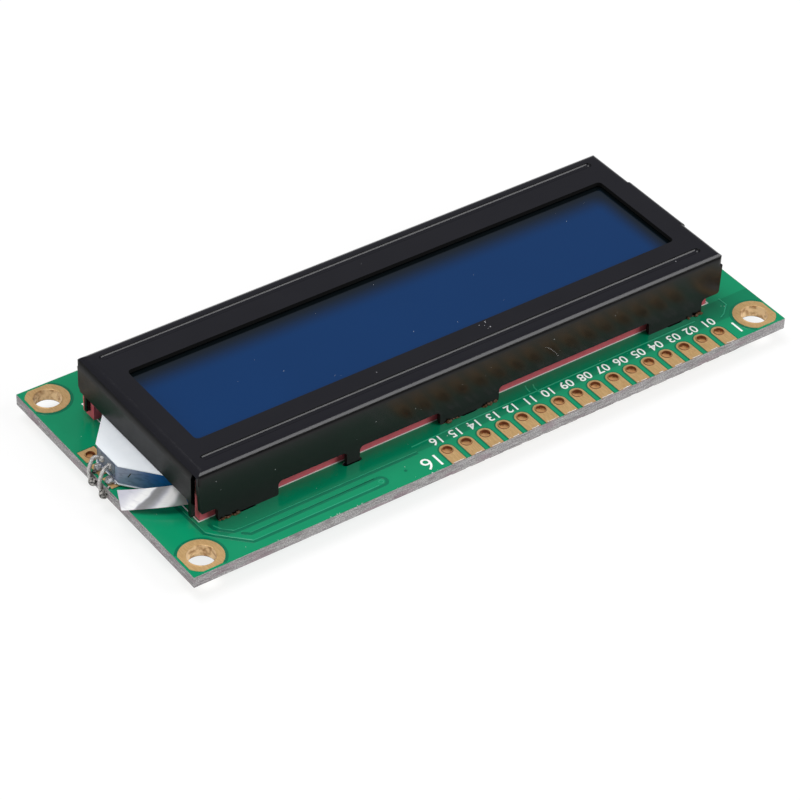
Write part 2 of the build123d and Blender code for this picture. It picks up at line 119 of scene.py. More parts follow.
def add_camera():
    """The photo's camera."""
    right, up, back = camera_axes()
    target = Vector((0, 0, board_top))
    place = target + camera_aside * right + camera_above * up + camera_distance * back
    data = bpy.data.cameras.new("camera")
    data.lens = lens
    data.sensor_width = sensor
    data.clip_start = 0.01
    camera = bpy.data.objects.new("camera", data)
    turn = Matrix((right, up, back)).transposed().to_4x4()
    camera.matrix_world = Matrix.Translation(place) @ turn
    scene.collection.objects.link(camera)
    scene.camera = camera


# Tools for materials

class Shader:
    """A material whose nodes are added one call at a time."""

    def __init__(self, name):
        self.material = bpy.data.materials.new(name)
        self.material.use_nodes = True
        self.tree = self.material.node_tree
        self.tree.nodes.clear()
        self.output = self.tree.nodes.new("ShaderNodeOutputMaterial")

    def put(self, socket, value):
        """Links a socket to a value's socket, or sets it to a constant."""
        if isinstance(value, bpy.types.NodeSocket):
            self.tree.links.new(value, socket)
        elif hasattr(value, "__len__") and len(value) == 3 and socket.type == "RGBA":
            socket.default_value = (*value, 1.0)
        else:
            socket.default_value = value

    def node(self, kind, inputs=None, **settings):
        """Adds a node, with its settings and inputs."""
        made = self.tree.nodes.new("ShaderNode" + kind)
        for key, value in settings.items():
            setattr(made, key, value)
        for key, value in (inputs or {}).items():
            self.put(made.inputs[key], value)
        return made

    def math(self, operation, first, second=0.0):
        """A math node's result."""
        return self.node("Math", {0: first, 1: second}, operation=operation).outputs[0]

    def total(self, first, second):
        """Two values added."""
        return self.math("ADD", first, second)

    def product(self, first, second):
        """Two values multiplied."""
        return self.math("MULTIPLY", first, second)

    def from_mark(self, value, mark):
        """A value counted from a mark."""
        return self.math("SUBTRACT", value, mark)

    def opposite(self, share):
        """What is left of a share."""
        return self.math("SUBTRACT", 1.0, share)

    def near(self, value, middle, reach):
        """1 where a value is less than reach away from the middle."""
        away = self.math("ABSOLUTE", self.from_mark(value, middle))
        return self.math("LESS_THAN", away, reach)

    def outside(self, value, reach):
        """1 where a value is more than reach away from zero."""
        return self.math("GREATER_THAN", self.math("ABSOLUTE", value), reach)

    def millimetres(self):
        """Place on the object, in millimetres."""
        place = self.node("TexCoord").outputs["Object"]
        scaled = self.node("VectorMath", {0: place, "Scale": 1 / MM}, operation="SCALE")
        return scaled.outputs[0]

    def stretched(self, vector, x, y, z):
        """A vector with each axis scaled."""
        made = self.node("VectorMath", {0: vector, 1: (x, y, z)}, operation="MULTIPLY")
        return made.outputs[0]

    def axis(self, vector, index):
        """One axis of a vector."""
        return self.node("SeparateXYZ", {0: vector}).outputs[index]

    def noise(self, vector, scale, detail, roughness=0.5):
        """Noise from 0 to 1."""
        made = self.node(
            "TexNoise", {"Vector": vector, "Scale": scale, "Detail": detail, "Roughness": roughness},
        )
        return made.outputs[0]

    def ramp(self, value, low, high, start=0.0, stop=1.0):
        """Start before low and stop past high, with a soft change between; low may be the larger."""
        made = self.node(
            "MapRange", {0: value, 1: low, 2: high, 3: start, 4: stop}, interpolation_type="SMOOTHSTEP",
        )
        return made.outputs[0]

    def either(self, share, first, second):
        """First where the share is 0, second where it is 1."""
        return self.ramp(share, 0.0, 1.0, first, second)

    def band(self, value, rise, fall):
        """1 between two soft edges: where the rise starts and ends, and where the fall ends and starts."""
        return self.product(self.ramp(value, *rise), self.ramp(value, *fall))

    def dots(self, vector, scale, radius, share):
        """1 inside small scattered dots, which only a share of the cells hold."""
        cells = self.node("TexVoronoi", {"Vector": vector, "Scale": scale})
        chosen = self.math("LESS_THAN", self.axis(cells.outputs["Color"], 0), share)
        size = self.product(self.axis(cells.outputs["Color"], 1), radius)
        return self.product(self.math("LESS_THAN", cells.outputs["Distance"], size), chosen)

    def mix(self, share, first, second):
        """A blend of two colours."""
        made = self.node("Mix", data_type="RGBA")
        self.put(made.inputs["Factor"], share)
        self.put(made.inputs[6], first)
        self.put(made.inputs[7], second)
        return made.outputs[2]

    def bump(self, height, depth_mm, strength, normal=None):
        """Bump from a height between 0 and 1, on top of another bump if one is given."""
        inputs = {"Height": height, "Distance": depth_mm * MM, "Strength": strength}
        if normal is not None:
            inputs["Normal"] = normal
        return self.node("Bump", inputs).outputs[0]

    def facing(self, index):
        """How far a face looks along an axis, from -1 to 1."""
        return self.axis(self.node("NewGeometry").outputs["True Normal"], index)

    def level(self):
        """1 on faces that look up or down, 0 on upright faces."""
        return self.outside(self.facing(along_z), facing_limit)

    def surface(self, **inputs):
        """The principled surface that ends the material."""
        names = {
            "color": "Base Color", "metallic": "Metallic", "roughness": "Roughness", "normal": "Normal",
            "coat": "Coat Weight", "coat_roughness": "Coat Roughness", "transmission": "Transmission Weight",
            "ior": "IOR", "specular": "Specular IOR Level", "subsurface": "Subsurface Weight",
            "subsurface_scale": "Subsurface Scale",
        }
        made = self.node("BsdfPrincipled", {names[key]: value for key, value in inputs.items()})
        self.tree.links.new(made.outputs[0], self.output.inputs[0])
        return self.material


def srgb(red, green, blue):
    """Linear colour from a display colour of 0 to 255."""
    return tuple(
        channel / 255 / 12.92 if channel <= 10 else ((channel / 255 + 0.055) / 1.055) ** 2.4
        for channel in (red, green, blue)
    )


# Materials

def mask_color(shader, place):
    """Green, darker in the strip between header and bezel, with a few pale specks."""
    strip_low, strip_high = (11.0, 11.2), (14.4, 14.2)
    strip_end = (34.2, 34.0)
    cloud = shader.noise(place, 0.25, 3)
    green = shader.mix(cloud, srgb(4, 134, 92), srgb(10, 144, 100))
    dark_green = shader.mix(cloud, srgb(0, 116, 80), srgb(2, 126, 88))
    strip = shader.band(shader.axis(place, along_y), strip_low, strip_high)
    strip = shader.product(strip, shader.ramp(shader.axis(place, along_x), *strip_end))
    green = shader.mix(strip, green, dark_green)
    return shader.mix(shader.dots(place, 0.9, 0.06, 0.3), green, srgb(120, 190, 165))


def laminate_color(shader, place, fibre, grain):
    """Pale grey with darker fibres and a few pinkish patches."""
    color = shader.mix(shader.ramp(grain, 0.4, 0.6), srgb(140, 137, 138), srgb(212, 210, 210))
    color = shader.mix(shader.ramp(fibre, 0.46, 0.6, 0.0, 0.75), color, srgb(116, 110, 112))
    patch = shader.noise(shader.stretched(place, 0.5, 0.5, 2.0), 0.6, 2)
    return shader.mix(shader.ramp(patch, 0.48, 0.66, 0.0, 0.5), color, srgb(158, 132, 142))


def mask_material():
    """Green solder mask on the faces of the board, cut laminate on its edges."""
    cut_roughness, mask_roughness = 0.8, 0.18
    shader = Shader("board")
    place = shader.millimetres()
    face = shader.level()
    fibre = shader.noise(shader.stretched(place, 0.4, 0.4, 6.0), 1.6, 4, 0.7)
    grain = shader.noise(place, 6.0, 4, 0.8)
    color = shader.mix(face, laminate_color(shader, place, fibre, grain), mask_color(shader, place))
    rough = shader.either(face, cut_roughness, mask_roughness)
    weave = shader.product(shader.noise(place, 1.2, 2), face)
    frayed = shader.product(shader.total(fibre, grain), shader.opposite(face))
    normal = shader.bump(weave, 0.004, 0.5, shader.bump(frayed, 0.15, 1.0))
    return shader.surface(color=color, roughness=rough, normal=normal)


def tint_material(name, dark, light, rough):
    """Solder mask over bare laminate, or lighter over copper, where on the copper's edges the lighter colour
    is a painted highlight.
    """
    shader = Shader(name)
    place = shader.millimetres()
    color = shader.mix(shader.noise(place, 0.6, 2), dark, light)
    normal = shader.bump(shader.noise(place, 2.0, 2), 0.004, 0.4)
    return shader.surface(color=color, roughness=rough, normal=normal)


def barrel_color(shader, place, grain):
    """Brown painted shade at the mouth of a barrel, orange painted light deep inside, paler when wide, grey
    behind the board.
    """
    mouth, depth = 1.55, 1.2
    wide_x, wide_y = 35.2, 12.9
    height = shader.axis(place, along_z)
    lit_depth_share = shader.ramp(shader.total(height, shader.product(grain, 0.7)), mouth, depth)
    # Painted shade at the mouth and painted light from below deep inside.
    color = shader.mix(lit_depth_share, srgb(120, 66, 30), (1.0, 0.68, 0.36))
    wide = shader.product(
        shader.outside(shader.axis(place, along_x), wide_x),
        shader.outside(shader.axis(place, along_y), wide_y),
    )
    mottled = shader.ramp(shader.noise(place, 1.5, 2, 0.5), 0.3, 0.62)
    color = shader.mix(wide, color, shader.mix(mottled, srgb(168, 124, 74), srgb(240, 208, 160)))
    return shader.mix(shader.math("LESS_THAN", height, rear), color, srgb(128, 120, 114))


def gold_material():
    """Matt gold plating, browner in the barrels, where painted shade and painted light stand in for how they
    are lit.
    """
    shader = Shader("gold_plating")
    place = shader.millimetres()
    grain = shader.noise(place, 2.2, 4, 0.6)
    brushed = shader.noise(shader.stretched(place, 5.0, 0.8, 1.0), 1.6, 3, 0.6)
    light = shader.mix(shader.ramp(brushed, 0.3, 0.7), srgb(194, 156, 104), srgb(212, 176, 124))
    light = shader.mix(shader.ramp(grain, 0.55, 0.75, 0.0, 0.5), light, srgb(172, 128, 78))
    light = shader.mix(shader.dots(place, 2.4, 0.07, 0.15), light, srgb(240, 220, 190))
    color = shader.mix(shader.level(), barrel_color(shader, place, grain), light)
    rough = shader.ramp(grain, 0.2, 0.8, 0.32, 0.5)
    normal = shader.bump(shader.noise(place, 5.0, 3), 0.012, 0.6)
    return shader.surface(color=color, metallic=0.4, roughness=rough, normal=normal)


def bezel_color(shader, place, face):
    """Nearly black, with painted shade making the walls darker than the top, dust all over and lint in one
    place.
    """
    lint_place = (-4.7, 8.0, bezel_top)
    lint_reach = 1.0
    cloud = shader.noise(place, 0.15, 3)
    top_paint = shader.mix(cloud, srgb(27, 27, 32), srgb(32, 32, 37))
    # Painted shade: the walls get a darker copy of the top's paint.
    shaded_wall_paint = shader.mix(cloud, srgb(2, 2, 3), srgb(6, 6, 6))
    color = shader.mix(face, shaded_wall_paint, top_paint)
    color = shader.mix(shader.dots(place, 0.5, 0.05, 0.2), color, srgb(120, 120, 124))
    apart = shader.node("VectorMath", {0: place, 1: lint_place}, operation="DISTANCE").outputs["Value"]
    fibres = shader.dots(shader.stretched(place, 1.0, 2.2, 1.0), 2.2, 0.28, 0.35)
    lint = shader.product(shader.math("LESS_THAN", apart, lint_reach), fibres)
    return shader.mix(lint, color, srgb(170, 170, 174))


def bezel_roughness(shader, place, face, inside):
    """Satin on top, duller on the walls but less so beside the header, dullest inside the window."""
    wall_blur, header_wall_blur, window_blur = 0.28, 0.09, 0.5
    satin = shader.ramp(shader.noise(place, 0.6, 4, 0.6), 0.3, 0.7, 0.12, 0.17)
    header_wall = shader.math("GREATER_THAN", shader.facing(along_y), facing_limit)
    blur = shader.product(shader.opposite(face), shader.either(header_wall, wall_blur, header_wall_blur))
    return shader.total(shader.total(satin, blur), shader.product(inside, window_blur))


def bezel_material():
    """Black satin paint with a faint grain, with painted shade on its walls and inside the window."""
    shader = Shader("bezel_paint")
    place = shader.millimetres()
    face = shader.level()
    in_window = shader.product(
        shader.near(shader.axis(place, along_x), window_middle_x, window_half_x),
        shader.near(shader.axis(place, along_y), window_middle_y, window_half_y),
    )
    inside = shader.product(in_window, shader.opposite(face))
    # Painted shade: the window's inner walls are near black.
    color = shader.mix(inside, bezel_color(shader, place, face), (0.0005, 0.0006, 0.0008))
    rough = bezel_roughness(shader, place, face, inside)
    normal = shader.bump(shader.noise(place, 9.0, 3, 0.6), 0.0015, 0.5)
    return shader.surface(color=color, roughness=rough, normal=normal, specular=0.24)


def display_material():
    """Blue display seen through its film, shaded by the far and the right rim of the window."""
    shader = Shader("display_film")
    place = shader.millimetres()
    from_far = shader.from_mark(shader.axis(place, along_y), window_far_y)
    from_right = shader.from_mark(shader.axis(place, along_x), window_right_x)
    blue = shader.mix(shader.noise(place, 0.08, 2), srgb(1, 45, 91), srgb(2, 48, 96))
    blue = shader.mix(shader.dots(place, 0.35, 0.03, 0.4), blue, srgb(90, 110, 140))
    open_share = shader.product(shader.ramp(from_far, 0.7, 4.2), shader.ramp(from_right, 0.4, 3.2))
    lit_share = shader.product(shader.ramp(from_far, 0.5, 0.85), shader.ramp(from_right, 0.3, 0.6))
    shaded = shader.mix(open_share, srgb(14, 24, 35), blue)
    color = shader.mix(lit_share, srgb(4, 9, 12), shaded)
    normal = shader.bump(shader.noise(place, 0.3, 2), 0.002, 0.3)
    return shader.surface(color=color, roughness=0.1, normal=normal)


def pink_material():
    """Matte pink silicone strip."""
    shader = Shader("pink_elastomer")
    place = shader.millimetres()
    color = shader.mix(shader.noise(place, 1.2, 3), srgb(196, 84, 96), srgb(220, 104, 114))
    normal = shader.bump(shader.noise(place, 8.0, 3), 0.02, 0.5)
    return shader.surface(
        color=color, roughness=0.6, normal=normal, subsurface=0.15, subsurface_scale=0.4 * MM,
    )


def plain_material(name, dark, light, rough, metallic=0.0, scale=2.0, depth=0.01, speckled=False):
    """Surface with mottled colour and a fine grain."""
    shader = Shader(name)
    place = shader.millimetres()
    grain = shader.noise(place, scale, 4, 0.6)
    share = shader.ramp(grain, 0.42, 0.6) if speckled else grain
    color = shader.mix(share, dark, light)
    normal = shader.bump(shader.noise(place, scale * 3, 3), depth, 0.6)
    rough = shader.ramp(grain, 0.2, 0.8, rough * 0.8, rough * 1.2)
    return shader.surface(color=color, roughness=rough, normal=normal, metallic=metallic)


def nick_share(shader, place):
    """1 in a short leaning nick on the tongue's side towards the header."""
    nick_x, nick_z, nick_lean = 38.0, 3.2, 0.35
    half_width, half_height = 0.05, 0.3
    side_y = 1.4
    rise = shader.from_mark(shader.axis(place, along_z), nick_z)
    shift = shader.from_mark(shader.axis(place, along_x), nick_x)
    shift = shader.total(shift, shader.product(rise, nick_lean))
    nick = shader.product(shader.near(shift, 0.0, half_width), shader.near(rise, 0.0, half_height))
    return shader.product(nick, shader.math("GREATER_THAN", shader.axis(place, along_y), side_y))


def guide_material():
    """Clear acrylic: the display's blue painted at its root as light seen through it, grey towards its tip,
    with a dark nick.
    """
    root_x, tip_x = 35.4, 38.6
    shader = Shader("clear_guide")
    place = shader.millimetres()
    outward = shader.ramp(shader.axis(place, along_x), root_x, tip_x)
    # Painted light: the display's blue seen through the acrylic at its root.
    color = shader.mix(outward, srgb(20, 88, 158), srgb(122, 134, 156))
    cloud = shader.noise(shader.stretched(place, 1.0, 1.0, 3.0), 1.1, 3)
    color = shader.mix(shader.ramp(cloud, 0.45, 0.7, 0.0, 0.4), color, srgb(50, 62, 84))
    color = shader.mix(nick_share(shader, place), color, srgb(4, 5, 8))
    normal = shader.bump(shader.noise(place, 0.8, 2), 0.01, 0.3)
    return shader.surface(
        color=color, roughness=0.22, ior=1.49, normal=normal, coat=0.1, coat_roughness=0.1,
    )


def foil_material():
    """Silvered plastic film with bands of painted reflection across its bow: painted highlights and a painted
    dark band.
    """
    shader = Shader("silver_foil")
    place = shader.millimetres()
    outward = shader.total(
        shader.axis(place, along_x), shader.product(shader.axis(place, along_z), 1.5),
    )
    outward = shader.total(outward, shader.product(shader.noise(place, 0.7, 2), 0.5))
    # Painted reflections: bright bands of the lamp and a dark band between them.
    outer_painted_highlight = shader.band(outward, (42.6, 42.9), (44.0, 43.1))
    painted_dark_reflection = shader.band(outward, (41.4, 42.3), (42.85, 42.55))
    inner_painted_highlight = shader.band(outward, (40.0, 40.8), (41.9, 41.2))
    silver = shader.mix(shader.ramp(outward, 40.0, 41.0), srgb(150, 160, 158), srgb(204, 204, 216))
    silver = shader.mix(outer_painted_highlight, silver, white)
    silver = shader.mix(shader.product(painted_dark_reflection, 0.9), silver, srgb(136, 136, 136))
    silver = shader.mix(inner_painted_highlight, silver, white)
    streaks = shader.noise(shader.stretched(place, 0.4, 0.4, 4.0), 2.0, 3)
    silver = shader.mix(shader.ramp(streaks, 0.5, 0.8, 0.0, 0.3), silver, srgb(180, 178, 190))
    normal = shader.bump(shader.noise(place, 0.5, 3), 0.05, 0.4)
    return shader.surface(color=silver, metallic=0.2, roughness=0.35, normal=normal)


def glass_material():
    """Edge of the glass, faintly green."""
    shader = Shader("cell_glass")
    place = shader.millimetres()
    color = srgb(170, 200, 190)
    normal = shader.bump(shader.noise(place, 2.0, 2), 0.005, 0.3)
    return shader.surface(color=color, roughness=0.08, transmission=0.7, ior=1.52, normal=normal)


def metal_materials():
    """Tin, solder and the burnt crust of a solder joint."""
    return {
        "tin": plain_material(
            "tin", srgb(84, 81, 78), srgb(255, 253, 250), 0.24, metallic=0.7, scale=4.5, depth=0.14,
        ),
        "solder": plain_material(
            "solder", srgb(120, 122, 126), srgb(235, 236, 240), 0.28, metallic=0.75, scale=5.0, depth=0.15,
        ),
        "crust": plain_material(
            "crust", srgb(24, 22, 22), srgb(190, 187, 182), 0.4,
            metallic=0.4, scale=3.5, depth=0.25, speckled=True,
        ),
    }


def make_materials():
    """One material for each slot of the record, and those of the added pieces."""
    return {
        "board": mask_material(),
        "gold_plating": gold_material(),
        "bezel_paint": bezel_material(),
        "cell_glass": glass_material(),
        "adhesive": plain_material("adhesive", srgb(190, 188, 178), srgb(215, 212, 200), 0.6),
        "display_film": display_material(),
        "rear_film": plain_material("rear_film", srgb(60, 62, 68), srgb(76, 80, 86), 0.25),
        "pink_elastomer": pink_material(),
        "clear_guide": guide_material(),
        "white_film": plain_material("white_film", srgb(232, 238, 244), srgb(242, 246, 250), 0.35, scale=0.6),
        "silver_foil": foil_material(),
        "lamp_body": plain_material("lamp_body", srgb(84, 92, 106), srgb(112, 120, 132), 0.3),
        "black_resin": plain_material("black_resin", srgb(12, 12, 13), srgb(22, 22, 24), 0.3, scale=1.0),
        "black_ceramic": plain_material("black_ceramic", srgb(18, 18, 20), srgb(32, 32, 34), 0.35),
        "tan_ceramic": plain_material("tan_ceramic", srgb(150, 122, 92), srgb(178, 148, 112), 0.45),
        "ink": plain_material("ink", srgb(225, 232, 228), srgb(242, 246, 242), 0.55),
        "bare_mask": tint_material("bare_mask", srgb(0, 104, 74), srgb(0, 115, 84), 0.2),
        "copper_tint_and_highlight": tint_material("copper_tint_and_highlight", srgb(26, 150, 110), srgb(44, 162, 122), 0.3),
        "flux": plain_material("flux", srgb(20, 13, 9), srgb(124, 84, 46), 0.35, scale=4.0, depth=0.1),
        "dust": plain_material("dust", srgb(190, 192, 194), srgb(238, 240, 242), 0.8),
        **metal_materials(),
    }


def dress_nodes():
    """Gives every CAD node the material of its slot, and the leads' lower joints a burnt one."""
    for part in frame["record"]["subparts"]:
        node = nodes[part["node"]]
        node.data.materials.clear()
        look = "crust" if part["node"] == "lead_joints" else part["material_slot"]
        node.data.materials.append(materials[look])


# Tools for pieces

def add_piece(name, mesh):
    """Puts a mesh in the scene as a piece of the object."""
    thing = bpy.data.objects.new(name, mesh)
    scene.collection.objects.link(thing)
    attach(thing, "root")


def build_piece(name, vertices, faces, material, smooth=False):
    """A piece made of points in millimetres and the faces between them."""
    mesh = bpy.data.meshes.new(name)
    mesh.from_pydata([tuple(value * MM for value in point) for point in vertices], [], faces)
    mesh.update()
    mesh.materials.append(materials[material])
    for polygon in mesh.polygons:
        polygon.use_smooth = smooth
    add_piece(name, mesh)


def ribbon_mesh(points, width, base, height, slope):
    """Flat line along points, raised above a face, with sloping sides."""
    half = width / 2
    section = ((half + slope, 0), (half, height), (-half, height), (-half - slope, 0))
    mitre_limit = 0.3
    last = len(points) - 1
    vertices = []
    faces = []
    for index, point in enumerate(points):
        here = Vector(point)
        before = Vector(points[max(index - 1, 0)])
        after = Vector(points[min(index + 1, last)])
        first = (here - before).normalized() if index else (after - here).normalized()
        second = (after - here).normalized() if index < last else first
        side = Vector((-(first.y + second.y), first.x + second.x)).normalized()
        side = side / max(mitre_limit, side.dot(Vector((-first.y, first.x))))
        for reach, level in section:
            spot = here + side * reach
            vertices.append((spot.x, spot.y, base + level))
    for index in range(last):
        low = 4 * index
        for step in range(3):
            faces.append((low + step, low + step + 1, low + step + 5, low + step + 4))
    faces.append((0, 1, 2, 3))
    faces.append(tuple(4 * last + step for step in (3, 2, 1, 0)))
    return vertices, faces


def add_ribbons(name, lines, width, base, height, material, slope=0.02):
    """Several ribbons in one piece."""
    vertices = []
    faces = []
    for points in lines:
        more, sides = ribbon_mesh(points, width, base, height, slope)
        faces += [tuple(len(vertices) + corner for corner in side) for side in sides]
        vertices += more
    build_piece(name, vertices, faces, material)


def arc(x, y, radius, start, stop, steps):
    """Points along an arc, with angles in degrees."""
    angles = [math.radians(start + (stop - start) * step / steps) for step in range(steps + 1)]
    return [(x + radius * math.cos(angle), y + radius * math.sin(angle)) for angle in angles]


def circle(x, y, radius, steps):
    """Points once round a circle."""
    return arc(x, y, radius, 0, 360, steps)


def add_lumps(name, spots, material, roughness, seed):
    """Rough balls in one piece: each spot is a centre and three radii."""
    coarse, fine, fine_share = 1.6, 4.0, 0.6
    vertices = []
    faces = []
    for index, (centre, radii) in enumerate(spots):
        ball = bmesh.new()
        bmesh.ops.create_icosphere(ball, subdivisions=3, radius=1.0)
        shift = Vector((seed * 7.1 + index * 3.3, index * 1.7, seed * 0.9))
        low = len(vertices)
        for vert in ball.verts:
            grow = 1 + roughness * noise.noise(vert.co * coarse + shift)
            grow += roughness * fine_share * noise.noise(vert.co * fine + shift)
            vertices.append(tuple(
                middle + radius * value * grow for middle, radius, value in zip(centre, radii, vert.co)
            ))
        faces += [tuple(low + vert.index for vert in face.verts) for face in ball.faces]
        ball.free()
    build_piece(name, vertices, faces, material, smooth=True)


def add_flakes(name, spots, material):
    """Small irregular flakes in one piece: each spot is a centre, a size and the axis it looks along."""
    vertices = []
    faces = []
    for (x, y, z), size, axis in spots:
        count = random.randint(5, 7)
        turn = random.uniform(0, math.pi)
        stretch = random.uniform(0.4, 1.0)
        low = len(vertices)
        for step in range(count):
            angle = 2 * math.pi * step / count
            reach = size / 2 * random.uniform(0.7, 1.2)
            long_way = math.cos(angle) * reach
            short_way = math.sin(angle) * reach * stretch
            first = long_way * math.cos(turn) - short_way * math.sin(turn)
            second = long_way * math.sin(turn) + short_way * math.cos(turn)
            vertices.append((x + first, y + second, z) if axis == along_z else (x + first, y, z + second))
        rise = 0.2 * size
        vertices.append((x, y, z + rise) if axis == along_z else (x, y + rise, z))
        faces += [(low + step, low + (step + 1) % count, low + count) for step in range(count)]
    build_piece(name, vertices, faces, material)


def add_printed(name, text, size, x, y, bold):
    """Printed characters on the upper face of the board, centred on a point."""
    curve = bpy.data.curves.new(name, "FONT")
    curve.body = text
    curve.size = size * MM
    curve.align_x = "CENTER"
    curve.align_y = "CENTER"
    curve.offset = bold * MM
    curve.resolution_u = 3
    holder = bpy.data.objects.new(name + "_curve", curve)
    scene.collection.objects.link(holder)
    holder.location = (x * MM, y * MM, board_top + ink_height * MM)
    bpy.context.view_layer.update()
    mesh = bpy.data.meshes.new_from_object(holder.evaluated_get(bpy.context.evaluated_depsgraph_get()))
    mesh.transform(holder.matrix_world)
    bpy.data.objects.remove(holder)
    mesh.materials.clear()
    mesh.materials.append(materials["ink"])
    add_piece(name, mesh)


# Print and relief on the upper face

def add_printing():
    """White outline round the bezel and plain numbers at the header."""
    left, right = -34.4, 34.84
    low, high = -12.64, 10.9
    outline_width = 0.13
    number_size, number_y, boldness = 1.75, 13.75, 0.02
    mark_size = 2.75
    first_mark = (pin_places[0] - 2.3, 16.1)
    last_mark = (pin_places[-1] + 2.5, 16.4)
    corners = [(left, low), (right, low), (right, high), (left, high), (left, low)]
    add_ribbons("printed_outline", [corners], outline_width, top, ink_height, "ink", 0.0)
    for number, x in enumerate(pin_places, 1):
        add_printed(f"pin_number_{number:02d}", f"{number:02d}", number_size, x, number_y, boldness)
    add_printed("first_pin_mark", "1", mark_size, *first_mark, 0.0)
    add_printed("last_pin_mark", "16", mark_size, *last_mark, 0.0)


def header_ring(x):
    """Line round one header pad, open at the edge of the board."""
    radius = 0.98
    edge = board_edge_y - 0.03
    return [(x + radius, edge)] + arc(x, pin_row_y, radius, 0, -180, 16) + [(x - radius, edge)]


def mounting_ring(side_x, side_y):
    """Line round one mounting pad, as far as the edges of the board."""
    radius, start, stop = 2.68, 122, 328
    x, y = side_x * hole_x, side_y * hole_y
    return [(x + side_x * over, y + side_y * up) for over, up in arc(0, 0, radius, start, stop, 40)]


def lamp_ring(y):
    """Line round three sides of one lamp pad."""
    inner_x, outer_x, half = 37.47, 39.65, 1.08
    return [(outer_x, y + half), (inner_x, y + half), (inner_x, y - half), (outer_x, y - half)]


def add_clearances():
    """Bare laminate round the pads, darker than the copper fields."""
    header_width, mounting_width, lamp_width = 0.16, 0.3, 0.14
    rings = [header_ring(x) for x in pin_places]
    add_ribbons("header_clearance", rings, header_width, top, relief_height, "bare_mask")
    rings = [mounting_ring(side_x, side_y) for side_x, side_y in corner_sides]
    add_ribbons("mounting_clearance", rings, mounting_width, top, relief_height, "bare_mask")
    rings = [lamp_ring(y) for y in lamp_pad_rows]
    add_ribbons("lamp_clearance", rings, lamp_width, top, relief_height, "bare_mask")


def add_trace_gaps(via):
    """Dark gaps between the copper fields: one turns back round the via, one runs along the pins."""
    width, turn_radius = 0.36, 0.66
    near_edge = [
        (15.5, 16.74), (31.25, 16.72), (31.8, 16.68), (34.76, 13.63),
        (35.4, 12.82), (35.55, 8.5), (35.6, 4.4),
    ]
    near_pins = [(15.5, 15.42), (31.33, 15.5), (32.1, 14.85)]
    below_pins = [(34.2, 11.77), (34.15, 12.79), (32.64, 14.25), (31.6, 14.35), (9.0, 14.35)]
    around = near_edge[::-1] + arc(*via, turn_radius, 90, 270, 20) + near_pins
    add_ribbons("trace_gaps", [around, below_pins], width, top, relief_height, "bare_mask")


def add_trace_edges(corner):
    """Painted highlights on the lit edges of the copper, along the gaps and beside the bezel."""
    width, slope = 0.1, 0.03
    near_edge = [(15.6, 16.5), (31.15, 16.5), (31.6, 16.46), (34.58, 13.42), (35.2, 12.6), (35.35, 8.5)]
    near_pins = [(15.4, 15.27), (31.3, 15.3), (32.0, 14.7)]
    below_pins = [(33.9, 12.2), (33.4, 13.25), (32.45, 14.05), (31.5, 14.14), (9.0, 14.14)]
    beside_bezel = [(9.0, 13.2), (2.0, 12.95), (-8.0, 12.95), (-31.0, 12.75)]
    first_end = [(-7.72, 11.48), (-7.54, 11.97), (-7.49, 12.69)]
    second_end = [(-8.6, 11.75), (-8.35, 12.35), (-8.35, 13.1), (-8.7, 13.6)]
    lines = [near_edge, near_pins, below_pins, beside_bezel, corner, first_end, second_end]
    # The lighter colour is a painted highlight on the copper's edges.
    add_ribbons("trace_edge_highlights", lines, width, top, relief_height, "copper_tint_and_highlight", slope)


def add_traces():
    """Tracks and vias that show through the mask on the upper face."""
    via = (15.05, 16.08)
    small_via = (11.82, 16.08)
    rim_radius, small_radius = 0.26, 0.1
    corner = [(-36.0, 10.93), (-36.05, 12.26), (-34.67, 13.5), (-33.97, 13.8)]
    beside_corner = [(x + 0.12, y + 0.16) for x, y in corner]
    add_trace_gaps(via)
    add_trace_edges(corner)
    add_ribbons("corner_gap", [beside_corner], 0.18, top, relief_height * 0.8, "bare_mask")
    rim = circle(*via, rim_radius, 18)
    add_ribbons("via_rims", [rim], 0.07, top, relief_height * 1.5, "copper_tint_and_highlight")
    dot = circle(*small_via, small_radius, 12)
    add_ribbons("via_dot", [dot], 0.2, top, relief_height, "bare_mask", 0.0)


def add_hole_lips():
    """Raised lips of the plating round the holes of the header and of the lamp pads."""
    header_radius, lamp_radius = 0.61, 0.55
    width, height, slope = 0.05, 0.07, 0.05
    lips = [circle(x, pin_row_y, header_radius, 24) for x in pin_places]
    lips += [circle(lamp_pad_x, y, lamp_radius, 24) for y in lamp_pad_rows]
    add_ribbons("hole_lips", lips, width, plating_top, height, "gold_plating", slope)


def add_pad_burrs():
    """Pale burrs where the board's edge cuts the header pads, which also stand for a painted highlight along
    the cut.
    """
    width, height = 0.05, 0.02
    level = top + 0.045
    edge = board_edge_y - 0.07
    burrs = []
    for x in pin_places:
        left = random.uniform(0.3, 0.8)
        right = random.uniform(0.1, 0.75)
        burrs.append([(x - left, edge), (x - left * 0.2, edge + 0.02), (x + right, edge)])
    # Partly real burrs, partly a painted highlight along each pad's cut end.
    add_ribbons("pad_burrs_and_highlights", burrs, width, level, height, "dust")


def add_mounting_lips():
    """Raised lips of the plating round the mounting holes."""
    radius = 1.67
    width, height, slope = 0.06, 0.02, 0.04
    lips = [circle(side_x * hole_x, side_y * hole_y, radius, 48) for side_x, side_y in corner_sides]
    add_ribbons("mounting_lips", lips, width, plating_top, height, "gold_plating", slope)


# Solder, residue and dust

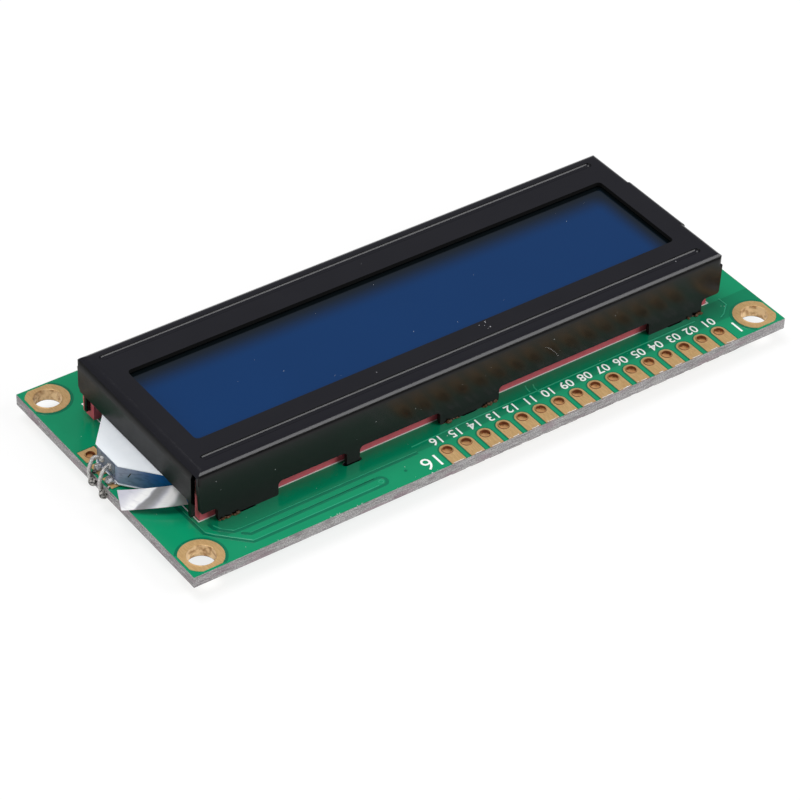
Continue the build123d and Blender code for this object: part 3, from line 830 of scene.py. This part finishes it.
def crust_spots(lead_y):
    """Large lumps on the cut edge behind a lead, and small ones in front of them."""
    face_x = 39.98
    large_count, small_count = 7, 6
    spots = []
    for step in range(large_count):
        size = random.uniform(0.16, 0.3)
        spot = (face_x - size, lead_y + random.uniform(-0.55, 0.55), random.uniform(0.35, 1.45))
        spots.append((spot, (size, size * 1.1, size * 1.2)))
    for step in range(small_count):
        size = random.uniform(0.09, 0.17)
        spot = (random.uniform(40.1, 40.45), lead_y + random.uniform(-0.35, 0.35), random.uniform(0.3, 1.1))
        spots.append((spot, (size, size, size)))
    return spots


def add_solder():
    """Solder on the lamp pads, and the rough crust where the leads meet the board's edge."""
    lead_rows = (-1.55, 0.85)
    pad_spots = [
        ((38.95, -2.3, top + 0.22), (0.62, 0.5, 0.34)),
        ((39.15, 0.25, top + 0.25), (0.6, 0.58, 0.4)),
        ((38.75, 0.85, top + 0.15), (0.3, 0.25, 0.2)),
    ]
    add_lumps("pad_solder", pad_spots, "solder", roughness=0.3, seed=3)
    edge_spots = []
    for lead_y in lead_rows:
        edge_spots += crust_spots(lead_y)
    add_lumps("edge_solder", edge_spots, "crust", roughness=0.7, seed=5)


def add_residue():
    """Brown flux crumbs at the feet of the bezel."""
    feet = ((30.2, 32.9), (1.4, 3.8), (-3.4, -1.6), (-32.6, -30.6))
    crumbs_per_foot = 14
    spots = []
    for low, high in feet:
        for step in range(crumbs_per_foot):
            x = random.uniform(low, high)
            size = random.uniform(0.07, 0.25)
            y = random.uniform(11.78, 12.1)
            spots.append(((x, y, top + size * 0.3), (size, size * 0.7, size * 0.8)))
    add_lumps("flux_crumbs", spots, "flux", roughness=0.6, seed=9)


def drawn(value):
    """A random number between a pair of limits, or the value itself."""
    return random.uniform(*value) if isinstance(value, tuple) else value


def speck(x, y, z, size, axis):
    """A flake's place, size and axis, drawn where limits are given."""
    place = (drawn(x), drawn(y), drawn(z))
    return place, drawn(size), axis


def add_edge_chips():
    """Light chips along the cut edge of the board, at the pads and between them."""
    between_pads = (26.5, 22.8, 22.0, 21.7, 19.4, 18.8, 29.5, 16.0, 14.2, 9.6, 8.9)
    chips_per_pad = 4
    pad_level = top + 0.055
    edge = board_edge_y - 0.16
    spots = []
    for x in pin_places:
        for step in range(chips_per_pad):
            aside = random.uniform(-0.8, 0.8)
            spots.append(speck(x + aside, edge + 0.04, pad_level, (0.05, 0.18), along_z))
    for x in between_pads:
        spots.append(speck(x, edge + 0.05, top, (0.06, 0.16), along_z))
    add_flakes("edge_chips", spots, "dust")


def hair_specks():
    """Flakes in a bowed row that stand for a hair on the bezel's wall by the header."""
    start_x, start_z = -9.98, 6.1
    run, drop, bow = 1.8, 1.9, 0.9
    count = 10
    spots = []
    for step in range(count):
        share = step / (count - 1)
        z = start_z - drop * share + bow * share * (1 - share)
        spots.append(speck(start_x - run * share, header_wall_y, z, 0.1, along_y))
    return spots


def add_dust():
    """Dust on the paint, the board and the display."""
    rounds = 14
    bezel_span, board_span, display_span = (-34, 34), (-39, 39), (-31, 31)
    far_strip, near_strip = (-9.2, -8.0), (7.6, 9.0)
    header_strip, display_strip = (12.4, 17.6), (-6, 6)
    wall_heights = (3.8, 7.0)
    paint_level = bezel_top - 0.02
    display_level = display_high.z / MM
    spots = []
    for step in range(rounds):
        spots.append(speck(bezel_span, far_strip, paint_level, (0.04, 0.1), along_z))
        spots.append(speck(bezel_span, near_strip, paint_level, (0.04, 0.1), along_z))
        spots.append(speck(bezel_span, header_wall_y, wall_heights, (0.04, 0.12), along_y))
        spots.append(speck(board_span, header_strip, top, (0.05, 0.12), along_z))
    spots += hair_specks()
    for step in range(rounds):
        spots.append(speck(display_span, display_strip, display_level, (0.04, 0.09), along_z))
    add_flakes("dust", spots, "dust")


# Rear of the board

def header_tracks():
    """Tracks on the rear from the header towards the domes, with the vias that end them."""
    first, middle, stop = 3, 8, 14
    pad_y, bend_y, end_y, via_y = 14.7, 11.8, 8.6, 8.4
    dome_reach, fan_step, bend_step, stagger_step = 17.0, 0.7, 0.22, 0.2
    tracks = []
    vias = []
    for index in range(first, stop):
        x = pin_places[index]
        bend = bend_y + bend_step * abs(index - middle)
        reach = dome_reach * (1 if index > middle else -1) + (index - middle) * fan_step
        target = x + 0.35 * (reach - x)
        stagger = stagger_step * (index % 4)
        tracks.append([(x, pad_y), (x, bend + 1.0), (target, bend - 1.6), (target, end_y - stagger)])
        vias.append(circle(target, via_y - stagger, rear_via_radius, 14))
    return tracks, vias


def dome_tracks(left, right):
    """Parallel tracks on the rear from one dome to the other."""
    pitch, lean = 0.7, 0.25
    third = (right.x - left.x) / 3
    tracks = []
    for row in range(-4, 5):
        aside = pitch * row
        slant = lean * row
        tracks.append([
            (left.x, left.y + aside), (left.x + third + slant, left.y + aside),
            (right.x - third + slant, right.y + aside), (right.x, right.y + aside),
        ])
    return tracks


def outward_tracks(left, right):
    """Tracks on the rear from each dome towards its end of the board, with their vias."""
    pitch, shortest, longer = 0.8, 10.0, 1.1
    tracks = []
    vias = []
    for side, start in ((1, right), (-1, left)):
        for row in range(5):
            y = start.y + pitch * (row - 2)
            end = start.x + side * (shortest + longer * row)
            tracks.append([(start.x, y), (end, y)])
            vias.append(circle(end, y, rear_via_radius, 14))
    return tracks, vias


def add_rear():
    """Tracks and vias under the mask on the rear of the board."""
    domes = [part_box("controller_dome"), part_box("driver_dome")]
    left, right = sorted(((low + high) / 2 / MM for low, high in domes), key=lambda middle: middle.x)
    from_header, header_vias = header_tracks()
    from_domes, dome_vias = outward_tracks(left, right)
    track_width, via_width = 0.22, 0.12
    tracks = from_header + dome_tracks(left, right) + from_domes
    vias = header_vias + dome_vias
    add_ribbons("rear_tracks", tracks, track_width, rear, -relief_height, "copper_tint_and_highlight")
    add_ribbons("rear_vias", vias, via_width, rear, -relief_height * 1.5, "bare_mask")


# Light and floor

def add_light(name, place, size, power):
    """Square lamp that points at the object, with its place and size in metres."""
    data = bpy.data.lights.new(name, "AREA")
    data.shape = "SQUARE"
    data.size = size
    data.energy = power
    lamp = bpy.data.objects.new(name, data)
    lamp.location = place
    lamp.rotation_euler = (-Vector(place)).to_track_quat("-Z", "Y").to_euler()
    scene.collection.objects.link(lamp)


def floor_material():
    """White, and glowing only where the camera, a reflection or a clear piece shows it."""
    shader = Shader("floor")
    place = shader.millimetres()
    color = shader.mix(shader.noise(place, 0.01, 2), (0.92, 0.92, 0.92), (0.94, 0.94, 0.94))
    material = shader.surface(color=color, roughness=0.9, specular=0.1)
    rays = shader.node("LightPath").outputs
    bounced = shader.math("MAXIMUM", rays["Is Glossy Ray"], rays["Is Transmission Ray"])
    seen = shader.math("MAXIMUM", rays["Is Camera Ray"], bounced)
    glow = shader.node("Emission", {"Color": white, "Strength": 1.0}).outputs[0]
    lit = shader.output.inputs[0].links[0].from_socket
    blend = shader.node("MixShader", {0: shader.product(seen, floor_glow), 1: lit, 2: glow})
    shader.tree.links.new(blend.outputs[0], shader.output.inputs[0])
    return material


def add_floor():
    """White floor, in metres, under the ends of the bezel's tabs."""
    level = bezel_low.z
    reach = 3.0
    mesh = bpy.data.meshes.new("floor")
    corners = [(-reach, -reach, level), (reach, -reach, level), (reach, reach, level), (-reach, reach, level)]
    mesh.from_pydata(corners, [], [(0, 1, 2, 3)])
    mesh.materials.append(floor_material())
    floor = bpy.data.objects.new("floor", mesh)
    scene.collection.objects.link(floor)


def add_surround():
    """Dim white light from all sides."""
    world = bpy.data.worlds.new("surround")
    world.use_nodes = True
    background = world.node_tree.nodes["Background"]
    background.inputs[0].default_value = (*white, 1.0)
    background.inputs[1].default_value = surround_strength
    scene.world = world


def add_lights():
    """A soft lamp beyond the header, one overhead and a small one at the tongue's end."""
    add_light("front_softbox", (-0.376, 0.504, 0.496), 0.42, 3.8)
    add_light("overhead", (0.11, -0.18, 0.7), 0.45, 3.7)
    add_light("side_fill", (0.66, 0.06, 0.24), 0.3, 1.0)


# The scene, made in this order because the random numbers follow each other
random.seed(16)
scene.view_settings.view_transform = "Standard"
add_camera()
materials = make_materials()
dress_nodes()
add_printing()
add_clearances()
add_traces()
add_hole_lips()
add_pad_burrs()
add_mounting_lips()
add_solder()
add_residue()
add_edge_chips()
add_dust()
add_rear()
add_floor()
add_surround()
add_lights()
